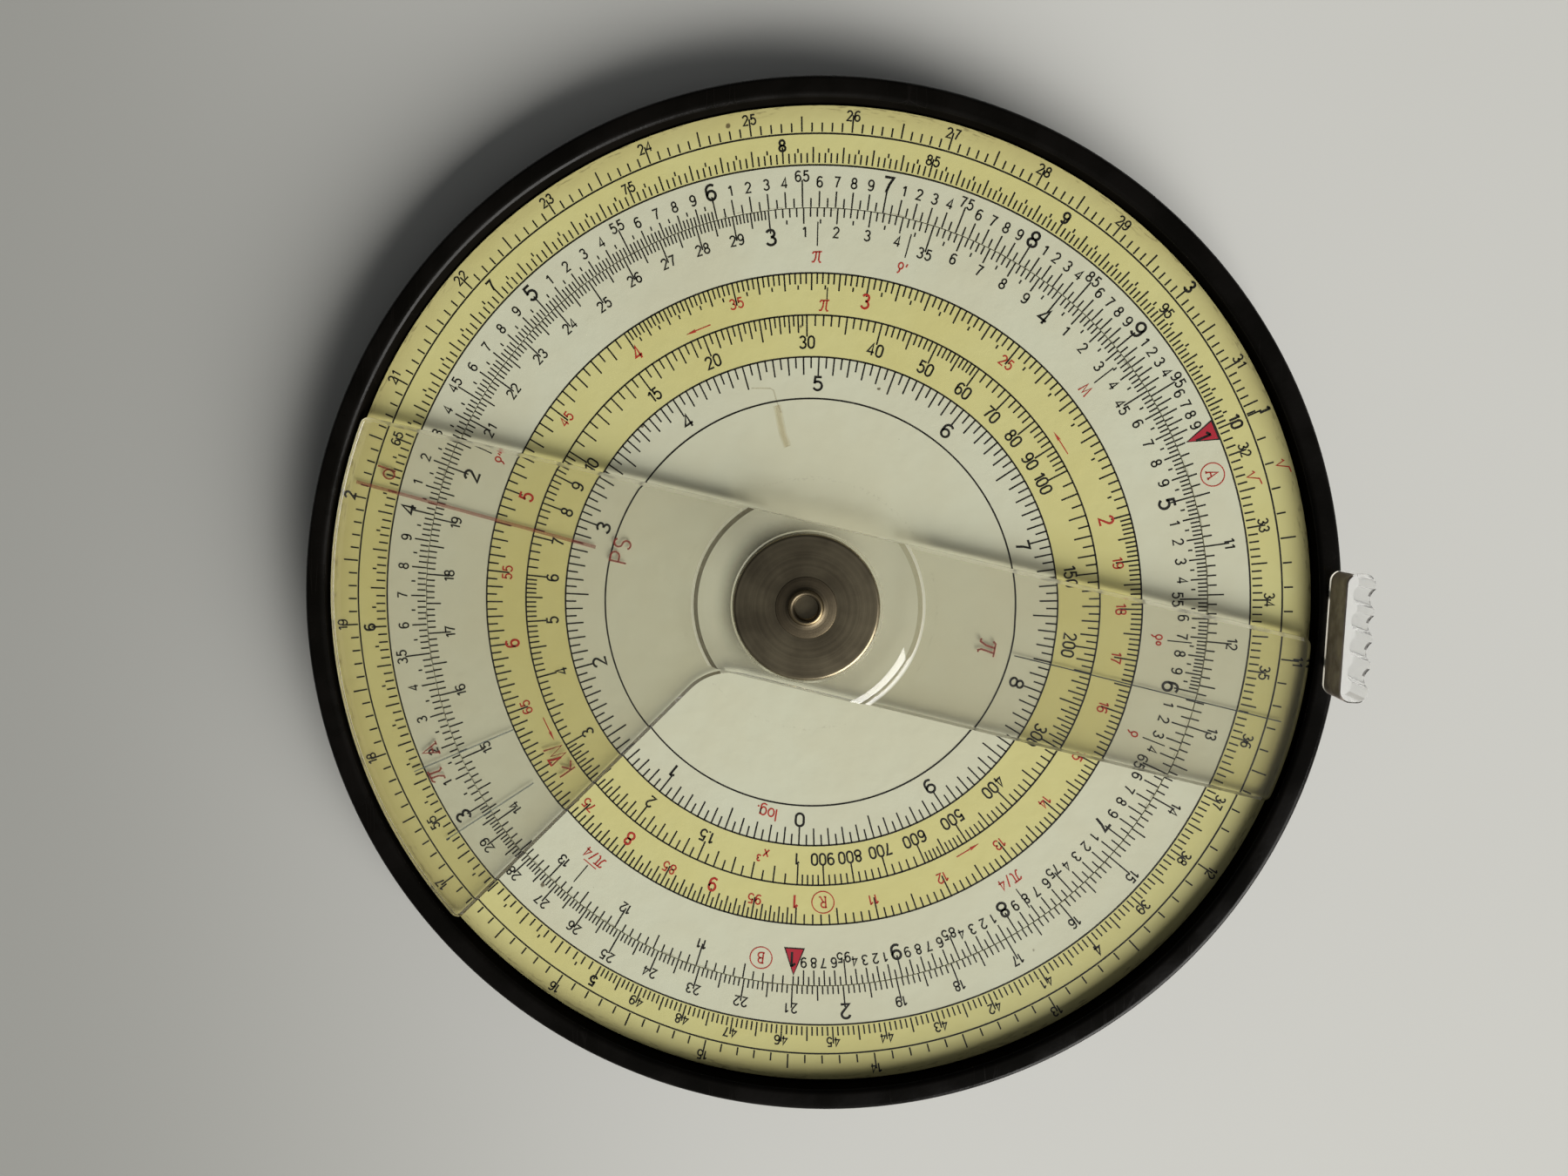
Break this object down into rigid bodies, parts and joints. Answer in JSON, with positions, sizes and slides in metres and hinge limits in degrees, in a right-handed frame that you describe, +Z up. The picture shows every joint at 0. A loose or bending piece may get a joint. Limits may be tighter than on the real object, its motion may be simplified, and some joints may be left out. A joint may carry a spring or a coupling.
{
  "type": "circular slide rule",
  "caption": "Round slide rule: black rimmed case, fixed inner dial, turning outer scale ring, clear two-armed cursor on a central spindle and a clear thumb grip on the rim.",
  "frame": {"origin": "on the spindle axis, on the surface that the feet stand on", "axes": "+Z up out of the dials; +X towards the thumb grip's side; +Y across, so that a viewer above with +X to the right has +Y up the page"},
  "size_m": [0.1272, 0.1254, 0.0162],
  "materials": {
    "bakelite": "polished black moulding with fine scuffs",
    "celluloid": "satin ivory sheet with yellow bands, printed black and red, slightly soiled",
    "clear_acrylic": "clear and polished, lightly scratched",
    "aluminium": "plain sheet",
    "nickel": "dull nickel with turning marks",
    "steel": "plain",
    "brass": "turned",
    "felt": "pressed felt",
    "fibre": "vulcanised fibre"
  },
  "bodies": {
    "base": {"case_pan": "bakelite", "foot_pads": "felt", "back_cover": "bakelite", "back_cover_screws": "steel", "spindle": "nickel", "spindle_washer": "steel", "spindle_bush": "brass", "inner_dial_plate": "aluminium", "inner_dial_face": "celluloid", "inner_dial_screws": "steel", "ring_glide": "felt", "cursor_thrust_washer": "fibre", "cap_spring": "steel", "hub_cap": "nickel", "thumb_grip": "clear_acrylic", "grip_pins": "steel"},
    "ring": {"ring_retainer": "steel", "ring_rivets": "brass", "ring_plate": "aluminium", "ring_face": "celluloid"},
    "cursor": {"cursor_plate": "clear_acrylic", "cursor_boss": "clear_acrylic", "cursor_bush": "brass"}
  },
  "joints": [
    {"name": "ring_turn", "type": "hinge", "parent": "base", "child": "ring", "pos_m": [0, 0, 0.0075], "axis": [0, 0, 1], "continuous": true},
    {"name": "cursor_turn", "type": "hinge", "parent": "base", "child": "cursor", "pos_m": [0, 0, 0.0079], "axis": [0, 0, 1], "continuous": true}
  ]
}
